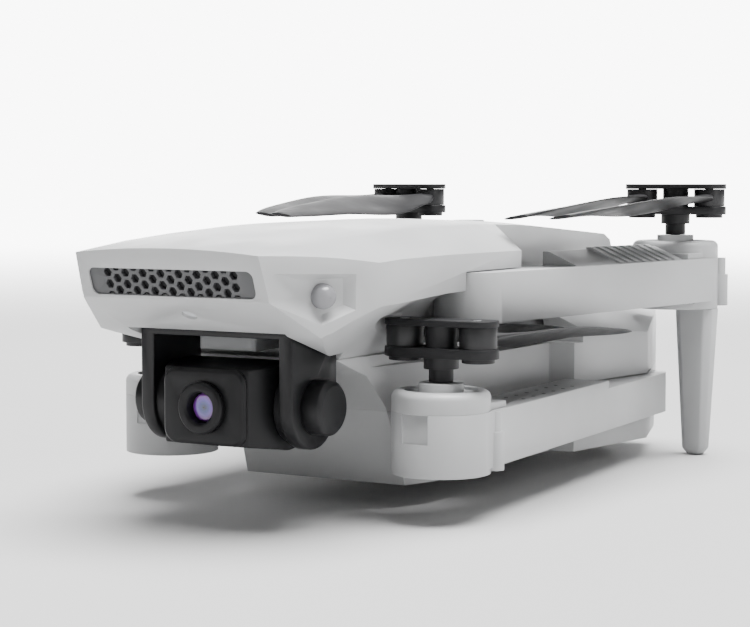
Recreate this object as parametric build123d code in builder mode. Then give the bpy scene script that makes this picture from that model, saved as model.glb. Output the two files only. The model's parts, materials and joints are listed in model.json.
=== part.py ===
from build123d import *
from math import atan2, cos, degrees, hypot, pi, radians, sin
import os

# Folding pocket quadcopter, folded. Millimetres, +Z up, nose towards -Y, the drone's own left is +X.
# The origin is at the centre of the footprint, level with the tips of the front legs.

os.makedirs("parts", exist_ok=True)

# overall
nose_y = -74.0
rear_y = 74.0
wall = 1.4
parting_z = 27.0
ledge_z = 17.2
belly_z = 4.0

# folding arms: pivot, motor pod, and the height of each stack of parts
front_pivot = (23.6, -16.8)
front_pod = (31.3, 60.0)
rear_pivot = (25.5, 54.0)
rear_pod = (27.2, -34.6)
front_pod_radius = 8.7
rear_pod_radius = 8.2
deck_drop = 22.1
front_root_radius = 6.5
rear_root_radius = 6.0
arm_width = 9.0
hinge_pin_radius = 1.5
running_gap = 0.05

# pod stack of a front arm; a rear arm has the same stack, lower by deck_drop
pod_floor_z = 30.2
pod_joint_z = 40.5
cap_top_z = 44.0
boss_top_z = 45.1
boss_radius = 3.9

# reduction gear in each pod
gear_module = 0.3
drive_teeth = 36
pinion_teeth = 9
gear_centres = gear_module * (drive_teeth + pinion_teeth) / 2
gear_z = 38.7
gear_thickness = 1.1
motor_radius = 3.4
shaft_radius = 1.0

# propeller
blade_pivot = 6.8
plate_half_width = 3.4
blade_length = 60.0
upper_hub_turn = 18.0
upper_outer_lean = 6.0
eye_radius = 3.1
screw_radius = 0.8

# camera and its yoke
tilt_y = -53.6
tilt_z = 20.1
yoke_half_width = 14.6
yoke_end_radius = 6.8
yoke_top_z = 32.4
lens_z = 20.2


def polar(centre, angle, distance):
    """Point at a distance from a centre, in a direction in degrees."""
    return (centre[0] + distance * cos(radians(angle)), centre[1] + distance * sin(radians(angle)))


def bearing(start, end):
    """Direction in degrees from one plan point to another."""
    return degrees(atan2(end[1] - start[1], end[0] - start[0]))


def save(solid, name):
    """Labels a finished piece and writes its file."""
    solid.label = name
    export_step(solid, f"parts/{name}.step")


def save_pair(solid, name):
    """Writes a left-hand piece and its mirror image on the right."""
    save(solid, name.format("left"))
    with BuildPart() as other:
        mirror(solid, about=Plane.YZ)
    save(other.part, name.format("right"))


def both_sides(solid):
    """A left-hand cutter together with its mirror image."""
    with BuildPart() as pair:
        add(solid)
        mirror(about=Plane.YZ)
    return pair.part


# Body shells

# station: y, crease x and z, shoulder z, foot of the wall z, tuck x and z
body_stations = [
    (-77.0, 17.0, 44.5, 42.0, 36.0, 20.3, 31.2),
    (-60.0, 17.8, 46.3, 43.0, 36.2, 20.1, 31.2),
    (-47.0, 18.2, 47.2, 43.6, 36.6, 19.0, 31.8),
    (-30.0, 18.3, 48.1, 43.8, 37.4, 17.2, 33.6),
    (-4.0, 18.0, 48.3, 43.7, 37.6, 17.0, 34.0),
    (20.0, 17.6, 47.6, 43.0, 37.4, 17.0, 34.0),
    (66.0, 17.0, 44.6, 41.0, 36.4, 17.0, 33.4),
]
crown = 0.9
shoulder_x = 26.3
waist_x = 14.1
blade_wall_x = 14.8


def body_section(station, inset):
    """One cross-section of the upper body, drawn inside its outline by inset."""
    y, crease_x, crease_z, shoulder_z, foot_z, tuck_x, tuck_z = station
    side = shoulder_x - inset
    crease = (crease_x - 0.6 * inset, crease_z - inset)
    shoulder = (side, shoulder_z - 0.8 * inset)
    foot = (side - 0.2, foot_z)
    tuck = (tuck_x - inset, tuck_z + 0.3 * inset)
    base = (waist_x - inset, parting_z)
    with BuildSketch(Plane.XZ.offset(-y)) as section:
        with BuildLine():
            ThreePointArc((-crease[0], crease[1]), (0, crease[1] + crown), crease)
            Polyline(crease, shoulder, foot)
            ThreePointArc(foot, tuck, base)
            Line(base, (-base[0], base[1]))
            ThreePointArc((-base[0], base[1]), (-tuck[0], tuck[1]), (-foot[0], foot[1]))
            Polyline((-foot[0], foot[1]), (-shoulder[0], shoulder[1]), (-crease[0], crease[1]))
        make_face()
    return section.sketch


def body_form(inset):
    """The upper body as one lofted solid."""
    with BuildPart() as form:
        loft([body_section(station, inset) for station in body_stations], ruled=True)
    return form.part


def side_cut(points):
    """A full-width cutter from an outline drawn in side view, as (y, z) points."""
    with BuildPart() as cutter:
        with BuildSketch(Plane.YZ):
            with BuildLine():
                Polyline(*points, close=True)
            make_face()
        extrude(amount=45, both=True)
    return cutter.part


# side view of the nose: grille face, chin and the lower edge of the cheeks
face_top_z = 45.7
face_low = (nose_y + 2.7, 37.7)
chin_low = (-62.5, 32.0)
keel_front_y = -47.0


def nose_cutter(inset):
    """Everything ahead of the grille face and below the chin, moved back by inset."""
    slant = (face_low[0] - nose_y) / (face_top_z - face_low[1])
    top = (nose_y + inset - slant * (60 - face_top_z), 60)
    points = [
        (nose_y - 20, 60),
        top,
        (face_low[0] + inset, face_low[1] + inset),
        (chin_low[0] + inset, chin_low[1] + inset),
        (keel_front_y, parting_z + 0.5 * inset),
        (keel_front_y, 0),
        (nose_y - 20, 0),
    ]
    return side_cut(points)


cheek_corner = (17.1, -73.9)
cheek_heading = bearing(cheek_corner, (25.2, -56.0))
cheek_tilt = -0.08


def cheek_plane(inset):
    """Plane of the flat facet on the left of the nose, moved inwards by inset."""
    along = radians(cheek_heading)
    plane = Plane(
        origin=(*cheek_corner, 44.8),
        x_dir=(cos(along), sin(along), 0),
        z_dir=(sin(along), -cos(along), cheek_tilt),
    )
    return plane.offset(-inset)


def cheek_cutter(inset):
    """The space outside the two cheek facets."""
    with BuildPart() as cutter:
        with BuildSketch(cheek_plane(inset)):
            Rectangle(90, 90)
        extrude(amount=30)
        mirror(about=Plane.YZ)
    return cutter.part


bay_wall_x = 16.4
arm_bay_top = pod_joint_z + 0.2
blade_room_top = 31.4


def arm_bay():
    """Space on the left for a folded front arm, with its knuckle, and for the blades below it."""
    with BuildPart() as bay:
        with BuildSketch(Plane.XY.offset(parting_z - 1)):
            with Locations(front_pivot):
                Circle(front_root_radius + 0.9)
            with BuildLine():
                Polyline(
                    (bay_wall_x, front_pivot[1]),
                    (front_pivot[0] + 15, front_pivot[1]),
                    (60, 0),
                    (60, 90),
                    (bay_wall_x, 90),
                    close=True,
                )
            make_face()
        extrude(amount=arm_bay_top - parting_z + 1)
        # the shoulder ends in a slanting wall, and the rear deck stays narrow behind it
        with BuildSketch(Plane.XY.offset(arm_bay_top - 0.1)):
            with BuildLine():
                Polyline((17.3, 4.2), (30, -5.2), (60, -5.2), (60, 90), (17.3, 90), close=True)
            make_face()
        extrude(amount=12)
        with BuildSketch(Plane.XY.offset(parting_z - 1)):
            with Locations((blade_wall_x + 20, 20)):
                Rectangle(40, 90)
        extrude(amount=blade_room_top - parting_z + 1)
    return bay.part


hub_room_radius = 10.9


def hub_scallop():
    """Room above a folded rear arm for its propeller hub to turn."""
    with BuildPart() as scallop:
        with BuildSketch(Plane.XZ.offset(-rear_pod[1])):
            with BuildLine():
                Polyline(
                    (rear_pod[0], 20),
                    (rear_pod[0] + hub_room_radius, 20),
                    (rear_pod[0] + hub_room_radius, 33.9),
                    (rear_pod[0], 35.5),
                    close=True,
                )
            make_face()
        revolve(axis=Axis((*rear_pod, 0), (0, 0, 1)))
    return scallop.part


deck_end_y = 62.0
deck_roll = 9.0


def deck_end_cutter(inset):
    """Rounds off the rear end of the upper body."""
    return side_cut([
        (deck_end_y - deck_roll - inset, 60),
        (deck_end_y - deck_roll - inset, 46.4 - inset),
        (deck_end_y - 0.35 * deck_roll - inset, 44.0 - inset),
        (deck_end_y - inset, 38.5 - inset),
        (deck_end_y - inset, 20),
        (80, 20),
        (80, 60),
    ])


gimbal_bay_x = 15.1
gimbal_bay = (-66.0, -45.6)


def upper_room():
    """The hollow of the upper shell: open at its base, solid over the arm knuckles and the camera."""
    with BuildPart() as room:
        add(body_form(wall))
        add(nose_cutter(wall + 0.6), mode=Mode.SUBTRACT)
        add(cheek_cutter(wall + 3.8), mode=Mode.SUBTRACT)
        add(deck_end_cutter(wall), mode=Mode.SUBTRACT)
        with Locations((0, -62, 20)):
            Box(60, 34, 28, mode=Mode.SUBTRACT)
        for side in (1, -1):
            with Locations((side * (bay_wall_x - wall + 20), 20, 34)):
                Box(40, 100, 60, mode=Mode.SUBTRACT)
            with Locations((side * (blade_wall_x - wall + 20), 20, blade_room_top - 20)):
                Box(40, 130, 40 + 2 * wall, mode=Mode.SUBTRACT)
    return room.part


deck_screw_y = (-36.0, 50.0)
deck_boss_top = (47.9, 45.7)
deck_screw_x = 10.2
screw_hole_radius = 0.8
button_y = 28.0
button_radius = 3.2
status_light_radius = 1.3

# grille band in the face of the nose, and the pocket in each cheek
grille_z = 40.3
grille_size = (31.0, 4.5)
grille_depth = 1.2
pocket_depth = 1.6
pocket_rim = [(2.8, 42.1), (18.3, 41.7), (18.5, 36.0), (12.2, 33.8), (1.9, 37.7)]
pocket_floor = [(9.4, 40.8), (16.9, 40.9), (17.1, 36.7), (13.2, 35.3), (8.8, 38.4)]
dome_place = (13.0, 38.2)
dome_radius = 2.0


def grille_plane(depth):
    """Plane of the nose face, centred on the grille, sunk by depth."""
    slant = (face_low[0] - nose_y) / (face_top_z - face_low[1])
    tilt = atan2(slant, 1)
    origin = (0, nose_y + slant * (face_top_z - grille_z), grille_z)
    plane = Plane(origin=origin, x_dir=(1, 0, 0), z_dir=(0, -cos(tilt), -sin(tilt)))
    return plane.offset(-depth)


def pocket_sketch(points, depth):
    """Outline on the left cheek from points given as distance back from the corner and height."""
    plane = cheek_plane(depth)
    along = plane.x_dir
    corners = []
    for distance, height in points:
        spot = Vector(*cheek_corner, height) + along * distance
        spot = spot + plane.z_dir * ((plane.origin - spot).dot(plane.z_dir))
        corners.append(plane.to_local_coords(spot))
    with BuildSketch(plane) as outline:
        with BuildLine():
            Polyline(*[(corner.X, corner.Y) for corner in corners], close=True)
        make_face()
    return outline.sketch


def cheek_pocket():
    """Pocket for the sensor dome on the left cheek: a rim that slopes in to a flat floor."""
    with BuildPart() as pocket:
        loft([pocket_sketch(pocket_rim, -0.05), pocket_sketch(pocket_floor, pocket_depth)], ruled=True)
    return pocket.part


with BuildPart() as upper_shell:
    add(body_form(0))
    add(nose_cutter(0), mode=Mode.SUBTRACT)
    add(cheek_cutter(0), mode=Mode.SUBTRACT)
    add(deck_end_cutter(0), mode=Mode.SUBTRACT)
    add(upper_room(), mode=Mode.SUBTRACT)
    add(both_sides(arm_bay()), mode=Mode.SUBTRACT)
    add(both_sides(hub_scallop()), mode=Mode.SUBTRACT)
    add(both_sides(cheek_pocket()), mode=Mode.SUBTRACT)
    # grille recess
    with BuildSketch(grille_plane(grille_depth)):
        RectangleRounded(*grille_size, 1.2)
    extrude(amount=grille_depth + 1, mode=Mode.SUBTRACT)
    # room for the camera yoke under the nose
    with Locations((0, (gimbal_bay[0] + gimbal_bay[1]) / 2, yoke_top_z - 10)):
        Box(2 * gimbal_bay_x, gimbal_bay[1] - gimbal_bay[0], 20, mode=Mode.SUBTRACT)
    # hole for the status light in the chin
    with Locations(Location((0, -67.2, 35.0), (145, 0, 0))):
        Cylinder(status_light_radius, 2.0, mode=Mode.SUBTRACT)
    # front hinge pins stand in the solid ears over the arm knuckles
    with Locations(*[(side * front_pivot[0], front_pivot[1], 42) for side in (1, -1)]):
        Cylinder(hinge_pin_radius, 4.0, mode=Mode.SUBTRACT)
    # bosses for the deck screws
    for y, top in zip(deck_screw_y, deck_boss_top):
        for side in (1, -1):
            with BuildSketch(Plane.XY.offset(parting_z)):
                with Locations((side * deck_screw_x, y)):
                    Circle(2.2)
            extrude(amount=top - parting_z)
            with Locations((side * deck_screw_x, y, parting_z + 5)):
                Cylinder(screw_hole_radius, 10.2, mode=Mode.SUBTRACT)
    # collar that guides the power button
    with BuildSketch(Plane.XY.offset(45.0)):
        with Locations((0, button_y)):
            Circle(button_radius + 1.2)
    extrude(amount=1.8)
    with Locations((0, button_y, 46)):
        Cylinder(button_radius + 0.15, 12, mode=Mode.SUBTRACT)
save(upper_shell.part, "upper_shell")

with BuildPart() as nose_grille:
    with BuildSketch(grille_plane(grille_depth)):
        RectangleRounded(*grille_size, 1.2)
        with HexLocations(0.98, 15, 3):
            RegularPolygon(0.78, 6, mode=Mode.SUBTRACT)
    extrude(amount=grille_depth - 0.25)
save(nose_grille.part, "nose_grille")

dome_base = cheek_plane(pocket_depth)
dome_spot = Vector(*cheek_corner, dome_place[1]) + dome_base.x_dir * dome_place[0]
dome_spot = dome_spot + dome_base.z_dir * ((dome_base.origin - dome_spot).dot(dome_base.z_dir))
with BuildPart() as sensor_domes:
    with BuildSketch(Plane(origin=dome_spot, x_dir=dome_base.x_dir, z_dir=dome_base.z_dir)):
        Circle(dome_radius)
    extrude(amount=0.5)
    with Locations(Plane(origin=dome_spot, x_dir=dome_base.x_dir, z_dir=dome_base.z_dir).offset(0.5)):
        Sphere(dome_radius, arc_size1=0, arc_size2=90, align=(Align.CENTER, Align.CENTER, Align.MIN))
    mirror(about=Plane.YZ)
save(sensor_domes.part, "sensor_domes")

with BuildPart() as status_light:
    with Locations(Location((0, -67.2, 35.0), (145, 0, 0))):
        Cylinder(status_light_radius, 2.0)
    add(nose_cutter(0.35), mode=Mode.SUBTRACT)
save(status_light.part, "status_light")

with BuildPart() as power_button:
    with Locations((0, button_y, 46.6)):
        Cylinder(button_radius, 3.6)
    fillet(power_button.edges().group_by(Axis.Z)[-1], 0.4)
save(power_button.part, "power_button")

# Lower body: middle frame and belly shell

body_rear = [(70.0, belly_z), (72.5, 9.0), (rear_y, ledge_z), (rear_y, 26.0), (71.0, 30.0), (62.4, 31.0)]
body_front = [(-46.6, parting_z), (-37.5, 23.6), (-32.4, 18.0), (-29.6, 11.0), (-27.0, belly_z)]
shelf_z = 25.0
shelf_x = 18.4
hip_x = 19.6
block_front_y = 25.0
block_x = (24.5, 29.0)
block_edge_y = 51.0
block_rear_x = 21.5
block_side_top = 25.6
arm_slot = (8.9, ledge_z)


def lower_form():
    """The body below the upper shell, as one solid with its rear block."""
    with BuildPart() as form:
        with BuildSketch(Plane.YZ):
            with BuildLine():
                Polyline(*body_rear, (28.0, 31.0), (28.0, parting_z), *body_front, close=True)
            make_face()
        extrude(amount=32, both=True)
        with BuildSketch(Plane.XY.offset(belly_z - 1)) as plan:
            with BuildLine():
                Polyline(
                    (0, -60), (14.2, -60), (14.4, -40), (16.2, -27), (shelf_x, -21), (hip_x, 0),
                    (hip_x, block_front_y - 1), (block_x[0], block_front_y), (block_x[1], block_edge_y),
                    (block_rear_x, rear_y + 1), (0, rear_y + 1), close=True,
                )
            make_face()
            mirror(about=Plane.YZ)
        extrude(amount=40, mode=Mode.INTERSECT)
        # the upper shell stands on the frame as far back as its rear end
        with Locations((0, deck_end_y - 49.9, parting_z + 10)):
            Box(2 * bay_wall_x + 0.2, 100, 20, mode=Mode.SUBTRACT)
    return form.part


def beside_neck():
    """Space over the shelf on the left, where the folded blades lie, and the slope of the rear block."""
    with BuildPart() as space:
        with BuildSketch(Plane.XY.offset(shelf_z)):
            with Locations((blade_wall_x + 20, (block_front_y + 3) / 2 - 40)):
                Rectangle(40, block_front_y + 83)
        extrude(amount=20)
        with BuildSketch(Plane.XZ.offset(-block_front_y)):
            with BuildLine():
                Polyline(
                    (16.9, 31.1), (30, block_side_top - 0.4), (40, block_side_top - 0.4),
                    (40, 40), (16.9, 40), close=True,
                )
            make_face()
        extrude(amount=-60)
    return space.part


def rear_arm_room():
    """Space on the left for a rear arm to lie folded and to swing out."""
    with BuildPart() as space:
        with BuildSketch(Plane.XY.offset(arm_slot[0])):
            with Locations(rear_pivot):
                Circle(rear_root_radius + 0.5)
            with BuildLine():
                Polyline(
                    (hip_x - 0.1, block_front_y - 2),
                    (60, block_front_y - 2),
                    (60, rear_pivot[1] + 34),
                    (rear_pivot[0] - 2, rear_pivot[1] + 5.9),
                    (hip_x - 0.1, rear_pivot[1]),
                    close=True,
                )
            make_face()
        extrude(amount=arm_slot[1] - arm_slot[0])
    return space.part


battery_half = 13.0
battery_z = (7.2, 23.2)
battery_y = (-14.0, 72.0)
battery_gap = 0.15


def battery_bay():
    """Hollow for the battery, open at the rear, and the empty space ahead of it."""
    with BuildPart() as bay:
        with Locations((0, (battery_y[0] - 0.5 + 90) / 2, (battery_z[0] + battery_z[1]) / 2)):
            Box(
                2 * (battery_half + battery_gap),
                90 - battery_y[0] + 0.5,
                battery_z[1] - battery_z[0] + 2 * battery_gap,
            )
        with Locations((0, -20, 15)):
            Box(24, 12, 17)
    return bay.part


latch_half = 6.0
latch_y = 60.0

with BuildPart() as lower_body:
    add(lower_form())
    add(both_sides(beside_neck()), mode=Mode.SUBTRACT)
    add(both_sides(rear_arm_room()), mode=Mode.SUBTRACT)
    add(battery_bay(), mode=Mode.SUBTRACT)
    # room above the battery for its latch
    with Locations((0, latch_y + 20, battery_z[1] + 1.5)):
        Box(2 * (latch_half + 0.3), 40, 4, mode=Mode.SUBTRACT)
    # space for the wiring under the upper shell
    with Locations((0, 3, parting_z)):
        Box(16, 60, 6, mode=Mode.SUBTRACT)

screw_plan = [(side * deck_screw_x, y) for y in deck_screw_y for side in (1, -1)]
belly_screw_plan = [(side * 15.8, y) for y in (6.0, 50.0) for side in (1, -1)]

with BuildPart() as middle_frame:
    add(lower_body.part)
    with BuildSketch(Plane.XY.offset(ledge_z)):
        Rectangle(100, 200)
    extrude(amount=-30, mode=Mode.SUBTRACT)
    with Locations(*[(side * rear_pivot[0], rear_pivot[1], ledge_z + 2.5) for side in (1, -1)]):
        Cylinder(hinge_pin_radius + running_gap, 7.0, mode=Mode.SUBTRACT)
save(middle_frame.part, "middle_frame")

with BuildPart() as belly_shell:
    add(lower_body.part)
    with BuildSketch(Plane.XY.offset(ledge_z)):
        Rectangle(100, 200)
    extrude(amount=30, mode=Mode.SUBTRACT)
    with Locations(*[(side * rear_pivot[0], rear_pivot[1], 7.5) for side in (1, -1)]):
        Cylinder(hinge_pin_radius + running_gap, 3.0, mode=Mode.SUBTRACT)
    for x, y in belly_screw_plan:
        with Locations((x, y, belly_z + 0.5)):
            Cylinder(1.6, 1.2, mode=Mode.SUBTRACT)
        with Locations((x, y, belly_z + 5)):
            Cylinder(screw_radius, 9.0, mode=Mode.SUBTRACT)
save(belly_shell.part, "belly_shell")

with BuildPart() as shell_screws:
    for x, y in belly_screw_plan:
        with Locations((x, y, belly_z + 0.7)):
            Cylinder(1.55, 0.8)
        with Locations((x, y, belly_z + 5.2)):
            Cylinder(screw_radius, 8.6)
        with Locations((x, y, belly_z + 0.3)):
            Box(1.9, 0.4, 0.5, mode=Mode.SUBTRACT)
            Box(0.4, 1.9, 0.5, mode=Mode.SUBTRACT)
save(shell_screws.part, "shell_screws")

with BuildPart() as belly_feet:
    for side in (1, -1):
        with BuildSketch(Plane.XY.offset(belly_z)):
            with Locations((side * 13.6, 57)):
                RectangleRounded(5.5, 15.0, 1.2)
        extrude(amount=-3.0, taper=22)
save(belly_feet.part, "belly_feet")

with BuildPart() as main_board:
    with BuildSketch(Plane.XY.offset(28.6)):
        RectangleRounded(24.6, 80, 1.5)
        with Locations(*screw_plan):
            Circle(2.6, mode=Mode.SUBTRACT)
    extrude(amount=1.2)
    for x, y, width, depth, height in (
        (0, -8, 9, 9, 1.0), (-6, 14, 5, 6, 0.9), (6, 13, 4, 4, 0.9), (0, 30, 8, 5, 2.2), (0, -27, 10, 4, 1.6),
    ):
        with BuildSketch(Plane.XY.offset(29.8)):
            with Locations((x, y)):
                Rectangle(width, depth)
        extrude(amount=height)
save(main_board.part, "main_board")

# Battery

with BuildPart() as battery_pack:
    with Locations((0, (battery_y[0] + battery_y[1]) / 2, (battery_z[0] + battery_z[1]) / 2)):
        Box(2 * battery_half, battery_y[1] - battery_y[0], battery_z[1] - battery_z[0])
    fillet(battery_pack.edges().filter_by(Axis.Y), 1.2)
    with Locations((0, latch_y + 6, battery_z[1])):
        Box(2 * latch_half + 0.3, 11, 3.0, mode=Mode.SUBTRACT)
save(battery_pack.part, "battery_pack")

with BuildPart() as battery_latch:
    with Locations((0, latch_y + 6, battery_z[1] - 0.2)):
        Box(2 * latch_half, 10.6, 1.0)
    with Locations((0, latch_y + 9, battery_z[1] + 0.6)):
        Box(2 * latch_half - 3, 1.0, 0.8)
        with Locations((0, -1.8, 0), (0, 1.4, 0)):
            Box(2 * latch_half - 3, 0.8, 0.8)
save(battery_latch.part, "battery_latch")

# Camera and yoke

plate_thickness = 2.5
step_x = 10.4
tilt_pin_radius = 2.0
plate_inner_x = yoke_half_width - plate_thickness


def yoke_outline(radius):
    """Side view of a yoke arm: straight sides that end in a round about the tilt axis."""
    with BuildSketch(Plane.YZ) as outline:
        with Locations((tilt_y, tilt_z)):
            Circle(radius)
        with Locations((tilt_y, (tilt_z + yoke_top_z) / 2)):
            Rectangle(2 * radius, yoke_top_z - tilt_z)
    return outline.sketch


with BuildPart() as gimbal_yoke:
    for side in (1, -1):
        plate = yoke_outline(yoke_end_radius).moved(Location((side * plate_inner_x, 0, 0)))
        extrude(plate, amount=side * plate_thickness)
        with BuildSketch(Plane.YZ.offset(side * step_x)):
            with Locations((tilt_y, tilt_z)):
                Circle(yoke_end_radius - 0.9)
        extrude(amount=side * (plate_inner_x - step_x))
    with Locations((0, tilt_y, yoke_top_z - 0.6)):
        Box(2 * yoke_half_width, 2 * yoke_end_radius, 1.2)
    with Locations(Location((0, tilt_y, tilt_z), (0, 90, 0))):
        Cylinder(tilt_pin_radius + running_gap, 40, mode=Mode.SUBTRACT)
save(gimbal_yoke.part, "gimbal_yoke")

with BuildPart() as yoke_caps:
    for side in (1, -1):
        with Locations(Location((side * (yoke_half_width + 1.85), tilt_y, tilt_z), (0, 90 * side, 0))):
            Cylinder(4.4, 3.7)
    chamfer(yoke_caps.edges().group_by(Axis.X)[-1] + yoke_caps.edges().group_by(Axis.X)[0], 0.7)
save(yoke_caps.part, "yoke_caps")

with BuildPart() as gimbal_mount:
    with Locations((0, tilt_y + 0.5, yoke_top_z - 2.4)):
        Box(11, 8, 2.4)
    fillet(gimbal_mount.edges().filter_by(Axis.Z), 0.8)
save(gimbal_mount.part, "gimbal_mount")

camera_front_y = -63.7
camera_half = 10.0
camera_radius = 7.2
face_half = 7.9
face_z = (14.2, 26.4)

with BuildPart() as camera_housing:
    with BuildSketch(Plane.YZ):
        with Locations((tilt_y, tilt_z)):
            Circle(camera_radius)
        with BuildLine():
            Polyline(
                (tilt_y, tilt_z + camera_radius), (camera_front_y + 0.8, face_z[1]),
                (camera_front_y + 0.8, face_z[0]), (tilt_y, tilt_z - camera_radius), close=True,
            )
        make_face()
    extrude(amount=camera_half, both=True)
    for side in (1, -1):
        with BuildSketch(Plane.XY):
            with BuildLine():
                Polyline(
                    (side * face_half, -80), (side * face_half, camera_front_y + 0.8),
                    (side * camera_half, camera_front_y + 5),
                    (side * 20, camera_front_y + 5), (side * 20, -80), close=True,
                )
            make_face()
        extrude(amount=50, mode=Mode.SUBTRACT)
    with Locations(Location((0, tilt_y, tilt_z), (0, 90, 0))):
        Cylinder(tilt_pin_radius, 2 * (yoke_half_width - 0.1))
    with Locations(Location((0, camera_front_y + 2.4, lens_z), (90, 0, 0))):
        Cylinder(3.3, 3.4, mode=Mode.SUBTRACT)
save(camera_housing.part, "camera_housing")

with BuildPart() as camera_faceplate:
    with BuildSketch(Plane.XZ.offset(-(camera_front_y + 0.8))):
        with Locations((0, (face_z[0] + face_z[1]) / 2)):
            RectangleRounded(2 * face_half, face_z[1] - face_z[0], 2.4)
        with Locations((0, lens_z)):
            Circle(3.3, mode=Mode.SUBTRACT)
    extrude(amount=0.8)
    chamfer(camera_faceplate.faces().sort_by(Axis.Y)[0].outer_wire().edges(), 0.5)
save(camera_faceplate.part, "camera_faceplate")

with BuildPart() as lens_barrel:
    with BuildSketch(Plane.XZ.offset(-(camera_front_y + 3.6))):
        with Locations((0, lens_z)):
            Circle(3.3)
    extrude(amount=3.6)
    with BuildSketch(Plane.XZ.offset(-camera_front_y)):
        with Locations((0, lens_z)):
            Circle(4.2)
    extrude(amount=1.2)
    with Locations(Location((0, camera_front_y - 0.2, lens_z), (90, 0, 0))):
        Cylinder(2.45, 3.0, mode=Mode.SUBTRACT)
    chamfer(lens_barrel.faces().sort_by(Axis.Y)[0].edges(), 0.35)
save(lens_barrel.part, "lens_barrel")

with BuildPart() as lens_glass:
    with BuildSketch(Plane.XZ.offset(-(camera_front_y + 1.3))):
        with Locations((0, lens_z)):
            Circle(2.45)
    extrude(amount=1.0)
    fillet(lens_glass.faces().sort_by(Axis.Y)[0].edges(), 0.6)
save(lens_glass.part, "lens_glass")

# Arms

motor_side = 3.4
motor_back = (gear_centres**2 - motor_side**2) ** 0.5
peg_bearing = 31.6


def motor_place(pivot, pod):
    """Centre of the motor, beside the propeller shaft and towards the pivot, on the outer side."""
    heading = bearing(pod, pivot)
    back = polar(pod, heading, motor_back)
    side = 1 if cos(radians(heading - 90)) > cos(radians(heading + 90)) else -1
    return polar(back, heading - 90 * side, motor_side)


def arm_plan(pivot, pod, pod_radius, root_radius, start=0.0, end=0.0):
    """Corners of the straight part of an arm, from start mm past the pivot to end mm short of the pod."""
    heading = bearing(pivot, pod)
    out = heading - 90 if cos(radians(heading - 90)) > 0 else heading + 90
    length = hypot(pod[0] - pivot[0], pod[1] - pivot[1])
    corners = []
    for along, inward in ((start, False), (length - end, False), (length - end, True), (start, True)):
        half = root_radius + (pod_radius - root_radius) * along / length
        spot = polar(polar(pivot, heading, along), out, half)
        corners.append(polar(spot, out + 180, arm_width) if inward else spot)
    return corners


def arm_shell(pivot, pod, pod_radius, root_radius, drop, root_z, beam_z, ramp):
    """A left arm: knuckle, hollow beam and motor pod, with the peg for a blade guard."""
    heading = bearing(pivot, pod)
    motor = motor_place(pivot, pod)
    floor = pod_floor_z - drop
    joint = pod_joint_z - drop
    with BuildPart() as arm:
        with BuildSketch(Plane.XY.offset(root_z[0])):
            with Locations(pivot):
                Circle(root_radius)
        extrude(amount=root_z[1] - root_z[0])
        with BuildSketch(Plane.XY.offset(beam_z[0])):
            with BuildLine():
                Polyline(*arm_plan(pivot, pod, pod_radius, root_radius), close=True)
            make_face()
        extrude(amount=root_z[1] - beam_z[0])
        if ramp:
            # the beam thickens from the edge of the clamping block to the pod
            low = arm_plan(pivot, pod, pod_radius, root_radius, start=ramp)
            with BuildSketch(Plane.XY.offset(beam_z[0])):
                with BuildLine():
                    Polyline(*low, close=True)
                make_face()
            extrude(amount=joint - beam_z[0])
        with BuildSketch(Plane.XY.offset(floor)):
            with Locations(pod):
                Circle(pod_radius)
        extrude(amount=joint - floor)
        # peg for the blade guard
        with BuildSketch(Plane.XY.offset(floor + 0.4)):
            with Locations(polar(pod, peg_bearing, pod_radius + 0.6)):
                Circle(1.65)
        extrude(amount=6.4)
        with BuildSketch(Plane.XY.offset(floor + 0.4)):
            with Locations(polar(pod, peg_bearing, pod_radius + 0.6)):
                Circle(1.15)
        extrude(amount=joint - floor - 0.5)
        # pod cavity, motor pocket and shaft bearing
        with BuildSketch(Plane.XY.offset(floor + 1.2)):
            with Locations(pod):
                Circle(pod_radius - 1.3)
            with Locations(motor):
                Circle(motor_radius + 0.1)
        extrude(amount=20, mode=Mode.SUBTRACT)
        with BuildSketch(Plane.XY.offset(floor + 1.2)):
            with Locations(pod):
                Circle(2.3)
        extrude(amount=2.2)
        with Locations((*pod, floor + 2.6)):
            Cylinder(shaft_radius + running_gap, 2.4, mode=Mode.SUBTRACT)
        # shallow square recess at the free end of the pod
        recess = heading - 6
        with Locations(Location((*polar(pod, recess, pod_radius + 1.3), joint - 2.4), (0, 0, recess))):
            Box(4, 4.9, 4.9, mode=Mode.SUBTRACT)
        # hinge bore
        with Locations((*pivot, (root_z[0] + root_z[1]) / 2)):
            Cylinder(hinge_pin_radius + running_gap, 30, mode=Mode.SUBTRACT)
    return arm.part


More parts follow.
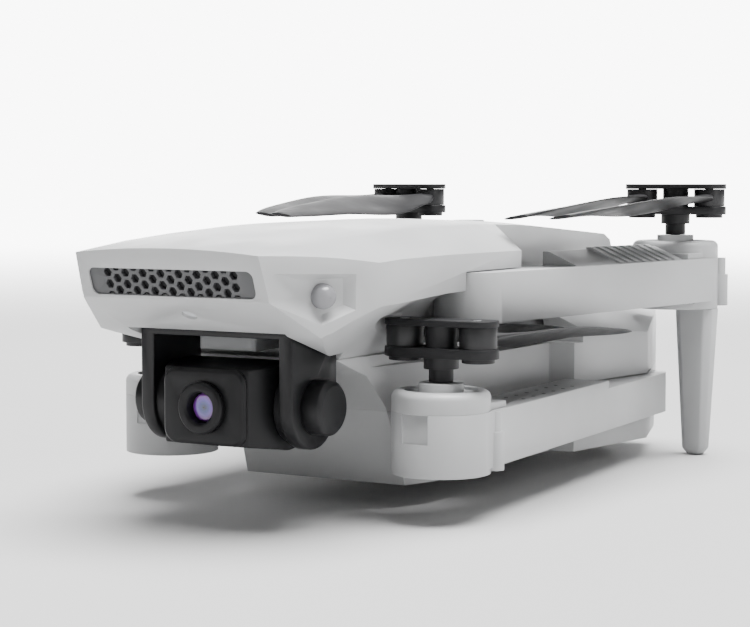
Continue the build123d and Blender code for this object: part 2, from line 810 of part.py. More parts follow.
def pod_cap(pivot, pod, pod_radius, drop):
    """Cap of a pod with a boss round the shaft and a tongue over the motor."""
    joint = pod_joint_z - drop
    top = cap_top_z - drop
    length = hypot(pod[0] - pivot[0], pod[1] - pivot[1])
    tongue = arm_plan(pivot, pod, pod_radius - 0.7, front_root_radius - 0.7, start=length - 9.6)
    with BuildPart() as cap:
        with BuildSketch(Plane.XY.offset(joint)):
            with Locations(pod):
                Circle(pod_radius)
        extrude(amount=top - joint)
        fillet(cap.edges().group_by(Axis.Z)[-1], 1.3)
        with BuildSketch(Plane.XY.offset(joint)):
            with BuildLine():
                Polyline(*tongue, close=True)
            make_face()
        extrude(amount=1.1)
        with BuildSketch(Plane.XY.offset(joint)):
            with Locations(pod):
                Circle(pod_radius - 1.6)
        extrude(amount=2.0, mode=Mode.SUBTRACT)
        with BuildSketch(Plane.XY.offset(top - 0.6)):
            with Locations(pod):
                Circle(6.1)
        extrude(amount=1, mode=Mode.SUBTRACT)
        with BuildSketch(Plane.XY.offset(top - 0.7)):
            with Locations(pod):
                Circle(boss_radius - 0.2)
        extrude(amount=boss_top_z - cap_top_z + 0.7)
        with Locations((*pod, top)):
            Cylinder(shaft_radius + running_gap, 6, mode=Mode.SUBTRACT)
    return cap.part


def toothed_disc(teeth, centre, turn, z, thickness, depth, half_tooth):
    """Spur gear: straight-sided teeth with plenty of backlash."""
    pitch_radius = gear_module * teeth / 2
    tip = pitch_radius + depth[0]
    root = pitch_radius - depth[1]
    points = []
    for tooth in range(teeth):
        middle = turn + 360 * tooth / teeth
        for radius, half, side in ((root, 1.5, -1), (tip, 0.6, -1), (tip, 0.6, 1), (root, 1.5, 1)):
            points.append(polar(centre, middle + side * degrees(half * half_tooth / radius), radius))
    with BuildPart() as gear:
        with BuildSketch(Plane.XY.offset(z)):
            with BuildLine():
                Polyline(*points, close=True)
            make_face()
        extrude(amount=thickness)
    return gear.part


def drive_gear(pivot, pod, drop):
    """Driven gear on the propeller shaft."""
    motor = motor_place(pivot, pod)
    mesh = bearing(pod, motor) + 180 / drive_teeth
    with BuildPart() as gear:
        add(toothed_disc(drive_teeth, pod, mesh, gear_z - drop, gear_thickness, (0.2, 0.34), 0.18))
        with BuildSketch(Plane.XY.offset(gear_z - drop - 0.4)):
            with Locations(pod):
                Circle(2.2)
        extrude(amount=gear_thickness + 0.8)
        with BuildSketch(Plane.XY.offset(pod_floor_z + 1.5 - drop)):
            with Locations(pod):
                Circle(shaft_radius)
        extrude(amount=22.0)
    return gear.part


def motor_can(pivot, pod, drop):
    """Closed motor can with a bore for its shaft."""
    with BuildPart() as can:
        with BuildSketch(Plane.XY.offset(pod_floor_z + 1.2 - drop)):
            with Locations(motor_place(pivot, pod)):
                Circle(motor_radius)
        extrude(amount=6.8)
        fillet(can.edges(), 0.3)
        with BuildSketch(Plane.XY.offset(pod_floor_z + 8.0 - drop)):
            with Locations(motor_place(pivot, pod)):
                Circle(0.55)
        extrude(amount=-3.0, mode=Mode.SUBTRACT)
    return can.part


def pinion(pivot, pod, drop):
    """Pinion on the motor shaft."""
    motor = motor_place(pivot, pod)
    with BuildPart() as gear:
        toward_pod = bearing(motor, pod)
        add(toothed_disc(pinion_teeth, motor, toward_pod, gear_z - 0.1 - drop, 1.3, (0.22, 0.36), 0.17))
        with BuildSketch(Plane.XY.offset(pod_floor_z + 5.4 - drop)):
            with Locations(motor):
                Circle(0.5)
        extrude(amount=4.8)
    return gear.part


# Propellers

sleeve_top = 2.3
collar_top = 4.2
lower_plate_top = 5.8
post_top = 9.4
stack_top = 10.4
blade_mid = 7.55
# station along the blade: distance, rise, half chord, pitch in degrees, half thickness
blade_stations = [
    (2.6, 0.0, 2.3, 2.0, 0.9),
    (9.0, -0.6, 3.8, 14.0, 0.55),
    (20.0, -1.35, 5.2, 20.0, 0.42),
    (35.0, -1.8, 5.2, 17.0, 0.38),
    (49.0, -2.4, 4.2, 12.0, 0.34),
    (blade_length, -3.1, 2.2, 8.0, 0.3),
]


def prop_hub(pod, base, turn):
    """Sleeve on the shaft and the two plates that hold the blade roots."""
    with BuildPart() as hub:
        with BuildSketch(Plane.XY.offset(base + 0.1)):
            Circle(2.04)
        extrude(amount=sleeve_top)
        with BuildSketch(Plane.XY.offset(base + sleeve_top)):
            Circle(2.9)
        extrude(amount=collar_top - sleeve_top)
        for low, high in ((collar_top, lower_plate_top), (post_top, stack_top)):
            with BuildSketch(Plane.XY.offset(base + low)):
                SlotCenterToCenter(2 * blade_pivot, 2 * plate_half_width)
            extrude(amount=high - low)
        with BuildSketch(Plane.XY.offset(base + lower_plate_top)):
            Circle(2.6)
        extrude(amount=post_top - lower_plate_top)
        for side in (1, -1):
            with Locations((side * blade_pivot, 0, base + collar_top - 0.35)):
                Cylinder(2.7, 0.7)
        with Locations((0, 0, base + 4)):
            Cylinder(shaft_radius, 9.2, mode=Mode.SUBTRACT)
        with Locations((blade_pivot, 0, base + 7), (-blade_pivot, 0, base + 7)):
            Cylinder(screw_radius, 20, mode=Mode.SUBTRACT)
    return hub.part.moved(Location((*pod, 0), (0, 0, turn)))


def hub_screws(pod, base, turn):
    """The two screws that the blades swing on."""
    with BuildPart() as screws:
        for side in (1, -1):
            with BuildSketch(Plane.XY.offset(base + collar_top - 0.7)):
                with Locations((side * blade_pivot, 0)):
                    Circle(screw_radius)
            extrude(amount=stack_top - collar_top + 0.7)
    return screws.part.moved(Location((*pod, 0), (0, 0, turn)))


def blade(pod, base, turn, side, heading, high_side):
    """One blade, swung on its screw to a heading in degrees; high_side is +1 if its left edge is high."""
    with BuildPart() as wing:
        for along, rise, half_chord, pitch, half_thick in reversed(blade_stations):
            with BuildSketch(Plane(origin=(along, 0, blade_mid + rise), x_dir=(0, 1, 0), z_dir=(1, 0, 0))):
                Ellipse(half_chord, half_thick, rotation=-pitch)
        loft()
        with BuildSketch(Plane.XY.offset(lower_plate_top + 0.05)):
            Circle(eye_radius)
        extrude(amount=post_top - lower_plate_top - 0.1)
        with Locations((0, 0, blade_mid)):
            Cylinder(screw_radius + running_gap, 10, mode=Mode.SUBTRACT)
    screw = polar(pod, turn + (0 if side > 0 else 180), blade_pivot)
    handed = wing.part.mirror(Plane.XZ) if high_side > 0 else wing.part
    return handed.moved(Location((*screw, base), (0, 0, heading)))


# The four arms with their propellers

front_root_z = (31.8, pod_joint_z)
rear_root_z = (9.1, 17.0)

arms = {
    "front": dict(
        pivot=front_pivot, pod=front_pod, radius=front_pod_radius, root=front_root_radius, drop=0.0,
        root_z=front_root_z, beam_z=front_root_z, ramp=0.0,
        turn=upper_hub_turn, outer=-90.0 - upper_outer_lean, inner=-90.0, high=1,
    ),
    "rear": dict(
        pivot=rear_pivot, pod=rear_pod, radius=rear_pod_radius, root=rear_root_radius, drop=deck_drop,
        root_z=rear_root_z, beam_z=(9.1, 18.4), ramp=32.0,
        turn=0.0, outer=90.0, inner=90.0, high=-1,
    ),
}

for place, arm in arms.items():
    ends = (arm["pivot"], arm["pod"])
    drop = arm["drop"]
    base = boss_top_z - drop
    name = place + "_{}"
    shell = arm_shell(*ends, arm["radius"], arm["root"], drop, arm["root_z"], arm["beam_z"], arm["ramp"])
    if place == "front":
        # the hinge screw's head sits in the knuckle
        with BuildPart() as knuckle:
            add(shell)
            with Locations((*front_pivot, front_root_z[0] + 0.8)):
                Cylinder(2.8, 1.8, mode=Mode.SUBTRACT)
        shell = knuckle.part
    save_pair(shell, name + "_arm")
    save_pair(pod_cap(*ends, arm["radius"], drop), name + "_pod_cap")
    save_pair(motor_can(*ends, drop), name + "_motor")
    save_pair(pinion(*ends, drop), name + "_pinion")
    save_pair(drive_gear(*ends, drop), name + "_drive_gear")
    save_pair(prop_hub(arm["pod"], base, arm["turn"]), name + "_prop_hub")
    save_pair(hub_screws(arm["pod"], base, arm["turn"]), name + "_blade_screws")
    save_pair(blade(arm["pod"], base, arm["turn"], 1, arm["outer"], arm["high"]), name + "_blade_outer")
    save_pair(blade(arm["pod"], base, arm["turn"], -1, arm["inner"], arm["high"]), name + "_blade_inner")

# Legs and hinge pins

leg_place = (36.0, 60.4)
leg_sections = [(0.0, 3.0, 2.4), (1.4, 5.0, 4.2), (pod_floor_z, 8.0, 6.4)]

with BuildPart() as front_leg:
    for z, width, depth in leg_sections:
        with BuildSketch(Plane.XY.offset(z)) as shape:
            with Locations(leg_place):
                Rectangle(width, depth)
            chamfer(shape.vertices(), 0.22 * depth)
    loft(ruled=True)
save_pair(front_leg.part, "front_{}_leg")

with BuildPart() as front_hinge_pins:
    for side in (1, -1):
        with BuildSketch(Plane.XY.offset(front_root_z[0] + 0.1)):
            with Locations((side * front_pivot[0], front_pivot[1])):
                Circle(2.6)
        extrude(amount=1.4)
        with BuildSketch(Plane.XY.offset(front_root_z[0] + 0.1)):
            with Locations((side * front_pivot[0], front_pivot[1])):
                Circle(hinge_pin_radius)
        extrude(amount=44.0 - front_root_z[0] - 0.1)
save(front_hinge_pins.part, "front_hinge_pins")

with BuildPart() as rear_pin:
    with Locations((*rear_pivot, 14.6)):
        Cylinder(hinge_pin_radius, 16.6)
save_pair(rear_pin.part, "rear_{}_hinge_pin")
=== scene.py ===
import json
import math
import bmesh
import bpy
from mathutils import Matrix, Vector


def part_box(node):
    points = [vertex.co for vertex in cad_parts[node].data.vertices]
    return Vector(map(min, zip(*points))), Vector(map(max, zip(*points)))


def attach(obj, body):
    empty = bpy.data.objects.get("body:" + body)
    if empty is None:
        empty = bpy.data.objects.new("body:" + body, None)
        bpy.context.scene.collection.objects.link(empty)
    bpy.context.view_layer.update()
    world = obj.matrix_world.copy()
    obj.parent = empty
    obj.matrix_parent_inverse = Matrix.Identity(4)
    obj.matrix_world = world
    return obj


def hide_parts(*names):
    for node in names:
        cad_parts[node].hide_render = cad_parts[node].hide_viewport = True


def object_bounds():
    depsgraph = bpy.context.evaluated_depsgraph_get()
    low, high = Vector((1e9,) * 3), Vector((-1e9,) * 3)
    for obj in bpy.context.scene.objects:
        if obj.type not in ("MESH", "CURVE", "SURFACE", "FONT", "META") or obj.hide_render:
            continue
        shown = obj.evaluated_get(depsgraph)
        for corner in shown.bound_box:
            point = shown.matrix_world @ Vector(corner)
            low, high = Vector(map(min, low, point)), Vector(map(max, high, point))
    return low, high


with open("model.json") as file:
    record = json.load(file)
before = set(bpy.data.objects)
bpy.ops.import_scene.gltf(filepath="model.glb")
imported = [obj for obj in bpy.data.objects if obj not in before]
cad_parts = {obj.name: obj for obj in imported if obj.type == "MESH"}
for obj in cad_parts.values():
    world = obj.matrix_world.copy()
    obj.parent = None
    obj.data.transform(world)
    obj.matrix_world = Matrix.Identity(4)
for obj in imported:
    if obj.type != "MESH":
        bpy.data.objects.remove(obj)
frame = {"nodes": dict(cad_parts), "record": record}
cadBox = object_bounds()
scene = bpy.context.scene
sides = {"left": 1, "right": -1}
mm = 0.001

print("camera and studio")

viewpoint = {
    "place": (0.1725, -0.3080, 0.0555),
    "downTilt": 3.913,  # degrees below level
    "heading": 30.0,  # degrees round from the nose, towards the drone's own left
    "lens": 90.86,
}
cameraData = bpy.data.cameras.new("studioCamera")
cameraData.lens = viewpoint["lens"]
cameraData.sensor_width = 36.0
cameraData.clip_start = 0.01
studioCamera = bpy.data.objects.new("studioCamera", cameraData)
studioCamera.location = viewpoint["place"]
tilt = math.radians(90 - viewpoint["downTilt"])
studioCamera.rotation_euler = (tilt, 0, math.radians(viewpoint["heading"]))
scene.collection.objects.link(studioCamera)
scene.camera = studioCamera

studio = {
    "floorSize": 6.0,
    "paperTones": (0.44, 0.46),
    "paperGlow": (0.35, 1.5, 7.0),  # distance in metres where the glow starts and is full, and its strength
    # elevation in degrees and grey level of the room
    "skyLevels": ((-90, 0.05), (-8, 0.08), (5, 0.16), (25, 0.20), (50, 0.30), (90, 0.8)),
    # bright backdrop on the far side: direction of its middle, cosines where it starts and is full, level
    "backdrop": ((-0.5, 0.866, -0.07), 0.90, 0.96, 9.0),
    "overhead": {"strength": 13.0, "spread": 50.0, "lean": (-4.0, 8.0)},  # degrees of spread and lean
    # place, aim, size in metres, power in watts
    "lamps": {
        "rightSoftbox": ((0.75, -0.15, 0.35), (0.0, 0.0, 0.03), 0.4, 1.6),
        "frontFill": ((-0.25, -0.85, 0.45), (0.0, -0.03, 0.03), 0.5, 0.1),
    },
}


def makeLamp(name, place, aim, size, power):
    lampData = bpy.data.lights.new(name, "AREA")
    lampData.shape = "SQUARE"
    lampData.size = size
    lampData.energy = power
    lamp = bpy.data.objects.new(name, lampData)
    lamp.location = place
    lamp.rotation_euler = (Vector(aim) - Vector(place)).to_track_quat("-Z", "Y").to_euler()
    scene.collection.objects.link(lamp)


for lampName, (place, aim, size, power) in studio["lamps"].items():
    makeLamp(lampName, place, aim, size, power)

overheadData = bpy.data.lights.new("overheadScrim", "SUN")
overheadData.energy = studio["overhead"]["strength"]
overheadData.angle = math.radians(studio["overhead"]["spread"])
overheadScrim = bpy.data.objects.new("overheadScrim", overheadData)
overheadScrim.rotation_euler = [math.radians(lean) for lean in studio["overhead"]["lean"]] + [0]
scene.collection.objects.link(overheadScrim)

world = bpy.data.worlds.new("paleRoom")
world.use_nodes = True
worldTree = world.node_tree
background = worldTree.nodes["Background"]
skyDirection = worldTree.nodes.new("ShaderNodeTexCoord")
skySplit = worldTree.nodes.new("ShaderNodeSeparateXYZ")
worldTree.links.new(skyDirection.outputs["Generated"], skySplit.inputs["Vector"])
skyRamp = worldTree.nodes.new("ShaderNodeValToRGB")
skySpan = worldTree.nodes.new("ShaderNodeMapRange")
skySpan.inputs["From Min"].default_value = -1.0
worldTree.links.new(skySplit.outputs["Z"], skySpan.inputs["Value"])
worldTree.links.new(skySpan.outputs["Result"], skyRamp.inputs["Fac"])
backdropAim, backdropStart, backdropFull, backdropLevel = studio["backdrop"]
facing = worldTree.nodes.new("ShaderNodeVectorMath")
facing.operation = "DOT_PRODUCT"
facing.inputs[1].default_value = Vector(backdropAim).normalized()
worldTree.links.new(skyDirection.outputs["Generated"], facing.inputs[0])
backdropSpan = worldTree.nodes.new("ShaderNodeMapRange")
backdropSpan.interpolation_type = "SMOOTHSTEP"
backdropSpan.inputs["From Min"].default_value = backdropStart
backdropSpan.inputs["From Max"].default_value = backdropFull
worldTree.links.new(facing.outputs["Value"], backdropSpan.inputs["Value"])
skyMix = worldTree.nodes.new("ShaderNodeMix")
skyMix.data_type = "RGBA"
skyMix.inputs["B"].default_value = (backdropLevel, backdropLevel, backdropLevel, 1)
worldTree.links.new(backdropSpan.outputs["Result"], skyMix.inputs["Factor"])
worldTree.links.new(skyRamp.outputs["Color"], skyMix.inputs["A"])
worldTree.links.new(skyMix.outputs["Result"], background.inputs["Color"])
skyStops = skyRamp.color_ramp.elements
while len(skyStops) < len(studio["skyLevels"]):
    skyStops.new(0.5)
for stop, (elevation, level) in zip(skyStops, studio["skyLevels"]):
    stop.position = (math.sin(math.radians(elevation)) + 1) / 2
    stop.color = (level, level, level, 1)
scene.world = world

print("materials")


def startMaterial(name, roughness, metallic=0.0):
    material = bpy.data.materials.new(name)
    material.use_nodes = True
    tree = material.node_tree
    shader = tree.nodes["Principled BSDF"]
    shader.inputs["Roughness"].default_value = roughness
    shader.inputs["Metallic"].default_value = metallic
    coordinates = tree.nodes.new("ShaderNodeTexCoord")
    return material, tree, shader, coordinates.outputs["Object"]


def addNoise(tree, vector, scale, detail=2.0):
    noise = tree.nodes.new("ShaderNodeTexNoise")
    noise.inputs["Scale"].default_value = scale
    noise.inputs["Detail"].default_value = detail
    tree.links.new(vector, noise.inputs["Vector"])
    return noise.outputs["Fac"]


def spreadValue(tree, value, low, high, fromLow=0.35, fromHigh=0.65):
    spread = tree.nodes.new("ShaderNodeMapRange")
    spread.inputs["From Min"].default_value = fromLow
    spread.inputs["From Max"].default_value = fromHigh
    spread.inputs["To Min"].default_value = low
    spread.inputs["To Max"].default_value = high
    tree.links.new(value, spread.inputs["Value"])
    return spread.outputs["Result"]


def mixColours(tree, factor, first, second):
    mix = tree.nodes.new("ShaderNodeMix")
    mix.data_type = "RGBA"
    mix.inputs["A"].default_value = (*first, 1)
    mix.inputs["B"].default_value = (*second, 1)
    tree.links.new(factor, mix.inputs["Factor"])
    return mix.outputs["Result"]


def addBump(tree, shader, height, depth, strength=1.0):
    bump = tree.nodes.new("ShaderNodeBump")
    bump.inputs["Strength"].default_value = strength
    bump.inputs["Distance"].default_value = depth
    tree.links.new(height, bump.inputs["Height"])
    tree.links.new(bump.outputs["Normal"], shader.inputs["Normal"])


def mouldedPlastic(name, colour, roughness, grainDepth, grainScale=2600.0, shift=0.05, gloss=0.5):
    # spark-eroded mould grain, slow drift of tone, and rubbed patches that shine a little more
    material, tree, shader, vector = startMaterial(name, roughness)
    shader.inputs["Specular IOR Level"].default_value = gloss
    drift = spreadValue(tree, addNoise(tree, vector, 26.0, 3.0), 0.0, 1.0)
    darker = tuple(channel * (1 - shift) for channel in colour)
    lighter = tuple(min(channel * (1 + shift), 1.0) for channel in colour)
    tree.links.new(mixColours(tree, drift, darker, lighter), shader.inputs["Base Color"])
    rubbed = addNoise(tree, vector, 90.0, 4.0)
    tree.links.new(spreadValue(tree, rubbed, roughness - 0.05, roughness + 0.06), shader.inputs["Roughness"])
    addBump(tree, shader, addNoise(tree, vector, grainScale, 3.0), grainDepth, 0.6)
    return material


def turnedMetal(name, colour, roughness, scratchDepth=0.000004):
    # fine lathe lines round the vertical axis
    material, tree, shader, vector = startMaterial(name, roughness, 1.0)
    mapping = tree.nodes.new("ShaderNodeMapping")
    mapping.inputs["Scale"].default_value = (1.0, 1.0, 12.0)
    tree.links.new(vector, mapping.inputs["Vector"])
    lines = addNoise(tree, mapping.outputs["Vector"], 900.0, 2.0)
    darker = tuple(channel * 0.82 for channel in colour)
    tones = mixColours(tree, spreadValue(tree, lines, 0.0, 1.0), darker, colour)
    tree.links.new(tones, shader.inputs["Base Color"])
    tree.links.new(spreadValue(tree, lines, roughness - 0.06, roughness + 0.08), shader.inputs["Roughness"])
    addBump(tree, shader, lines, scratchDepth)
    return material


def coatedGlass(name, lensCentre):
    # dark glass with a coating that runs from blue at its middle to violet at its rim
    material, tree, shader, vector = startMaterial(name, 0.06)
    mapping = tree.nodes.new("ShaderNodeMapping")
    mapping.vector_type = "POINT"
    mapping.inputs["Location"].default_value = (-lensCentre[0], 0.0, -lensCentre[2])
    mapping.inputs["Scale"].default_value = (1.0, 0.0, 1.0)
    tree.links.new(vector, mapping.inputs["Vector"])
    distance = tree.nodes.new("ShaderNodeVectorMath")
    distance.operation = "LENGTH"
    tree.links.new(mapping.outputs["Vector"], distance.inputs[0])
    span = tree.nodes.new("ShaderNodeMapRange")
    span.inputs["From Max"].default_value = 2.5 * mm
    tree.links.new(distance.outputs["Value"], span.inputs["Value"])
    ramp = tree.nodes.new("ShaderNodeValToRGB")
    ramp.color_ramp.elements[0].position = 0.0
    ramp.color_ramp.elements[0].color = (0.004, 0.006, 0.02, 1)
    ramp.color_ramp.elements[1].position = 1.0
    ramp.color_ramp.elements[1].color = (0.01, 0.008, 0.02, 1)
    coating = ((0.28, (0.02, 0.04, 0.22)), (0.5, (0.10, 0.05, 0.42)), (0.74, (0.16, 0.03, 0.26)))
    for position, colour in coating:
        stop = ramp.color_ramp.elements.new(position)
        stop.color = (*colour, 1)
    tree.links.new(span.outputs["Result"], ramp.inputs["Fac"])
    tree.links.new(ramp.outputs["Color"], shader.inputs["Base Color"])
    shader.inputs["Coat Weight"].default_value = 1.0
    shader.inputs["Coat Roughness"].default_value = 0.02
    return material


finishes = {
    "shell_grey": mouldedPlastic("satinShell", (0.40, 0.404, 0.408), 0.42, 0.000012),
    "arm_grey": mouldedPlastic("satinArm", (0.36, 0.364, 0.368), 0.42, 0.000012),
    "trim_black": mouldedPlastic("blackTrim", (0.008, 0.008, 0.009), 0.48, 0.00001, gloss=0.28),
    "blade_black": mouldedPlastic("bladeNylon", (0.009, 0.009, 0.010), 0.42, 0.000008, 1800.0, gloss=0.4),
    "camera_black": mouldedPlastic("cameraBlack", (0.006, 0.006, 0.007), 0.45, 0.000008, gloss=0.25),
    "yoke_metal": mouldedPlastic("yokePaint", (0.006, 0.006, 0.007), 0.42, 0.000008, gloss=0.3),
    "sensor_gloss": mouldedPlastic("sensorWindow", (0.20, 0.20, 0.21), 0.16, 0.000001),
    "lamp_clear": mouldedPlastic("lampWindow", (0.55, 0.56, 0.58), 0.25, 0.000004),
    "steel": turnedMetal("hingeSteel", (0.55, 0.55, 0.56), 0.30),
    "brass": turnedMetal("pinionBrass", (0.72, 0.52, 0.22), 0.30),
    "can_metal": turnedMetal("motorCan", (0.70, 0.70, 0.71), 0.26),
    "board_green": mouldedPlastic("solderMask", (0.02, 0.12, 0.05), 0.30, 0.000006, 900.0, 0.12),
    "pack_grey": mouldedPlastic("packGrey", (0.20, 0.205, 0.21), 0.45, 0.000012),
    "foot_rubber": mouldedPlastic("footRubber", (0.045, 0.045, 0.047), 0.75, 0.00002, 1500.0),
}
lensLow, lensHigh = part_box("lens_glass")
finishes["lens_coated"] = coatedGlass("coatedLens", (lensLow + lensHigh) / 2)
missingFinish = [entry["slot"] for entry in frame["record"]["materials"] if entry["slot"] not in finishes]
if missingFinish:
    raise ValueError(missingFinish)

print("carried-over shapes, merged and given soft edges")

bodyOf = {node: body for body, members in frame["record"]["behaviour"]["bodies"].items() for node in members}
slotOf = {entry["node"]: entry["material_slot"] for entry in frame["record"]["subparts"]}


def finishPiece(bm, name, body, slotName, smoothAngle=35.0):
    mesh = bpy.data.meshes.new(name)
    bm.to_mesh(mesh)
    bm.free()
    piece = bpy.data.objects.new(name, mesh)
    scene.collection.objects.link(piece)
    mesh.shade_smooth()
    mesh.set_sharp_from_angle(angle=math.radians(smoothAngle))
    mesh.materials.append(finishes[slotName])
    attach(piece, body)
    return piece


def softenedCopy(node, width, segments=2, sharpAngle=34.0, flatAngle=0.6):
    # the merged copy gets a small round on every sharp edge, as a moulded part has
    bm = bmesh.new()
    bm.from_mesh(frame["nodes"][node].data)
    bmesh.ops.remove_doubles(bm, verts=bm.verts, dist=0.002 * mm)
    bmesh.ops.dissolve_degenerate(bm, edges=bm.edges, dist=0.002 * mm)
    bmesh.ops.dissolve_limit(bm, angle_limit=math.radians(flatAngle), verts=bm.verts, edges=bm.edges)
    sharpEdges = [e for e in bm.edges if e.is_manifold and e.calc_face_angle(0) > math.radians(sharpAngle)]
    if width > 0:
        bmesh.ops.bevel(
            bm, geom=sharpEdges, offset=width * mm, offset_type="OFFSET", segments=segments,
            profile=0.5, affect="EDGES", clamp_overlap=True, material=-1,
        )
    piece = finishPiece(bm, node + "_moulded", bodyOf[node], slotOf[node])
    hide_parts(node)
    return piece


edgeRounds = {
    "upper_shell": 0.25, "middle_frame": 0.25, "belly_shell": 0.25, "nose_grille": 0.05,
    "gimbal_yoke": 0.3, "yoke_caps": 0.15, "gimbal_mount": 0.2,
    "camera_housing": 0.4, "camera_faceplate": 0.15,
    "lens_barrel": 0.1, "belly_feet": 0.3, "battery_pack": 0.2, "battery_latch": 0.1,
    "_arm": 0.25, "_pod_cap": 0.2, "_leg": 0.3, "_prop_hub": 0.15, "_blade_outer": 0.1, "_blade_inner": 0.1,
}
for node in sorted(frame["nodes"]):
    width = max([size for ending, size in edgeRounds.items() if node.endswith(ending)], default=0.0)
    softenedCopy(node, width)

print("arm tops and grille backing")

armTop = {
    "frontPivot": (23.6, -16.8), "frontPod": (31.3, 60.0), "frontRadii": (6.5, 8.7), "frontJoint": 40.5,
    "rearPivot": (25.5, 54.0), "rearPod": (27.2, -34.6), "rearRadii": (6.0, 8.2), "rearJoint": 18.4,
    # crest: distance in from the outer edge and height over the joint
    "crest": ((1.4, -0.1), (9.0, -0.1), (9.0, 2.6), (7.8, 2.6)), "crestReach": (27.0, 67.0),
    "ribs": 8, "ribStart": 42.0, "ribStep": 3.0, "ribLength": 1.4, "ribRise": 0.4, "ribInset": 0.25,
    # the rear arm holes are thin black discs on the arm top, painted shade for the dark inside of each hole
    "holes": 6, "holeStart": 44.0, "holeStep": 4.6, "holeRows": (2.7, 6.0), "holeRadius": 0.38,
    "shadeDiscThickness": 0.04,
}
crestEdge = min(inward for inward, height in armTop["crest"])
crestBack = max(inward for inward, height in armTop["crest"])


def armPoint(pivot, pod, radii, along, inward, height, side):
    # point measured along an arm from its pivot and inwards from its outer edge
    start, end = Vector(pivot), Vector(pod)
    ahead = (end - start).normalized()
    outward = Vector((ahead.y, -ahead.x)) if ahead.y > 0 else Vector((-ahead.y, ahead.x))
    half = radii[0] + (radii[1] - radii[0]) * along / (end - start).length
    spot = start + ahead * along + outward * (half - inward)
    return Vector((side * spot.x, spot.y, height)) * mm


def addPrism(bm, corners, travel):
    # a closed bar: the outline is kept as its first end and extruded along travel
    outline = bm.faces.new([bm.verts.new(corner) for corner in corners])
    grown = bmesh.ops.extrude_face_region(bm, geom=[outline], use_keep_orig=True)
    moved = [part for part in grown["geom"] if isinstance(part, bmesh.types.BMVert)]
    bmesh.ops.translate(bm, verts=moved, vec=travel)


for sideName, side in sides.items():
    front = (armTop["frontPivot"], armTop["frontPod"], armTop["frontRadii"])
    bm = bmesh.new()
    spans = [(*armTop["crestReach"], 0.0)]
    for rib in range(armTop["ribs"]):
        ribStart = armTop["ribStart"] + armTop["ribStep"] * rib
        spans.append((ribStart, ribStart + armTop["ribLength"], armTop["ribRise"]))
    for start, end, rise in spans:
        corners = []
        for inward, height in armTop["crest"]:
            lift = rise if height > 0 or inward == crestEdge else 0
            inset = armTop["ribInset"] if rise and inward == crestBack else 0
            level = armTop["frontJoint"] + height + lift
            corners.append(armPoint(*front, start, inward - inset, level, side))
        addPrism(bm, corners, armPoint(*front, end, 0, 0, side) - armPoint(*front, start, 0, 0, side))
    bmesh.ops.recalc_face_normals(bm, faces=bm.faces)
    finishPiece(bm, "front_" + sideName + "_armCrest", "front_" + sideName + "_arm", "arm_grey", 30.0)

    rear = (armTop["rearPivot"], armTop["rearPod"], armTop["rearRadii"])
    bm = bmesh.new()
    # painted shade: flat black discs where the holes' dark insides would be, not real holes
    for hole in range(armTop["holes"]):
        for row in armTop["holeRows"]:
            along = armTop["holeStart"] + armTop["holeStep"] * hole
            centre = armPoint(*rear, along, row, armTop["rearJoint"], side)
            bmesh.ops.create_cone(
                bm, cap_ends=True, segments=20, radius1=armTop["holeRadius"] * mm,
                radius2=armTop["holeRadius"] * mm, depth=armTop["shadeDiscThickness"] * mm,
                matrix=Matrix.Translation(centre),
            )
    finishPiece(bm, "rear_" + sideName + "_armHoleShadeDiscs", "rear_" + sideName + "_arm", "trim_black")
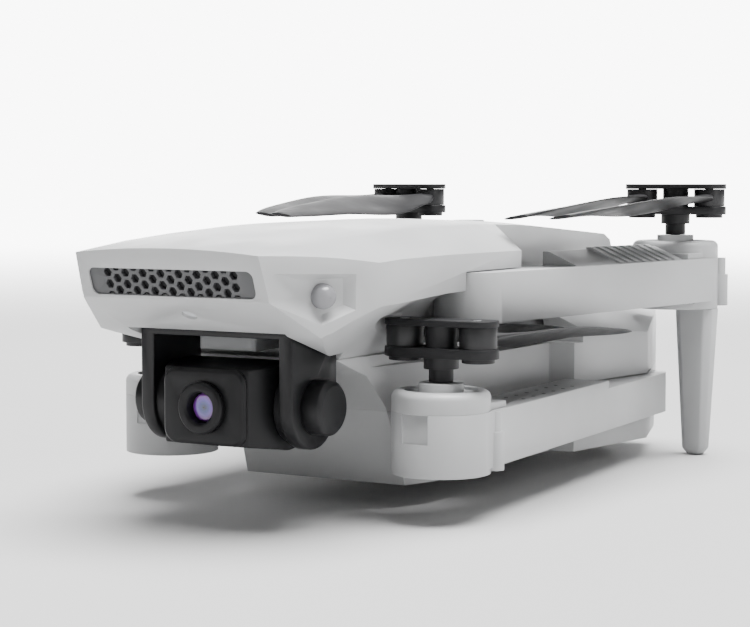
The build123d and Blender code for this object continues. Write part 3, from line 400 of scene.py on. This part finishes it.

# dark plate inside the grille's own depth, seen through its cells: painted shade for the shadow inside the
# cells
grilleShadePlate = {"outline": 0.985, "depth": 0.3}  # shares of the grille's outline and depth
bm = bmesh.new()
grille = frame["nodes"]["nose_grille"].data
frontFace = max(grille.polygons, key=lambda polygon: polygon.area * (polygon.normal.y < -0.5))
outwards = frontFace.normal.copy()
grillePoints = [v.co.copy() for v in grille.vertices]
back = min(p.dot(outwards) for p in grillePoints)
middle = sum(grillePoints, Vector()) / len(grillePoints)
for p in grillePoints:
    depth = p.dot(outwards)
    flat = p - outwards * (depth - middle.dot(outwards))
    shift = back + (depth - back) * grilleShadePlate["depth"] - middle.dot(outwards)
    bm.verts.new(middle + (flat - middle) * grilleShadePlate["outline"] + outwards * shift)
hull = bmesh.ops.convex_hull(bm, input=bm.verts)
unused = set(hull["geom_interior"]) | set(hull["geom_unused"])
bmesh.ops.delete(bm, geom=[v for v in unused if isinstance(v, bmesh.types.BMVert)], context="VERTS")
finishPiece(bm, "grilleShadePlate", "body", "trim_black")
grillePaint = mouldedPlastic("grillePaint", (0.060, 0.061, 0.064), 0.40, 0.00001)
bpy.data.objects["nose_grille_moulded"].data.materials[0] = grillePaint

print("floor")

floorMaterial, floorTree, floorShader, floorVector = startMaterial("palePaper", 0.8)
paperTone = spreadValue(floorTree, addNoise(floorTree, floorVector, 4.0), 0.0, 1.0)
darkPaper, lightPaper = ((tone, tone, tone) for tone in studio["paperTones"])
paperColours = mixColours(floorTree, paperTone, darkPaper, lightPaper)
floorTree.links.new(paperColours, floorShader.inputs["Base Color"])
# the paper brightens into the backdrop well away from the drone
floorDistance = floorTree.nodes.new("ShaderNodeVectorMath")
floorDistance.operation = "LENGTH"
floorTree.links.new(floorVector, floorDistance.inputs[0])
floorGlow = floorTree.nodes.new("ShaderNodeMapRange")
floorGlow.interpolation_type = "SMOOTHSTEP"
glowStart, glowFull, glowStrength = studio["paperGlow"]
floorGlow.inputs["From Min"].default_value = glowStart
floorGlow.inputs["From Max"].default_value = glowFull
floorGlow.inputs["To Max"].default_value = glowStrength
floorTree.links.new(floorDistance.outputs["Value"], floorGlow.inputs["Value"])
floorTree.links.new(floorGlow.outputs["Result"], floorShader.inputs["Emission Strength"])
floorShader.inputs["Emission Color"].default_value = (1, 1, 1, 1)
floorMesh = bmesh.new()
bmesh.ops.create_grid(floorMesh, x_segments=1, y_segments=1, size=studio["floorSize"] / 2)
floorData = bpy.data.meshes.new("paperFloor")
floorMesh.to_mesh(floorData)
floorMesh.free()
floorData.materials.append(floorMaterial)
floor = bpy.data.objects.new("paperFloor", floorData)
floor.location = (0, 0, cadBox[0][2])
scene.collection.objects.link(floor)
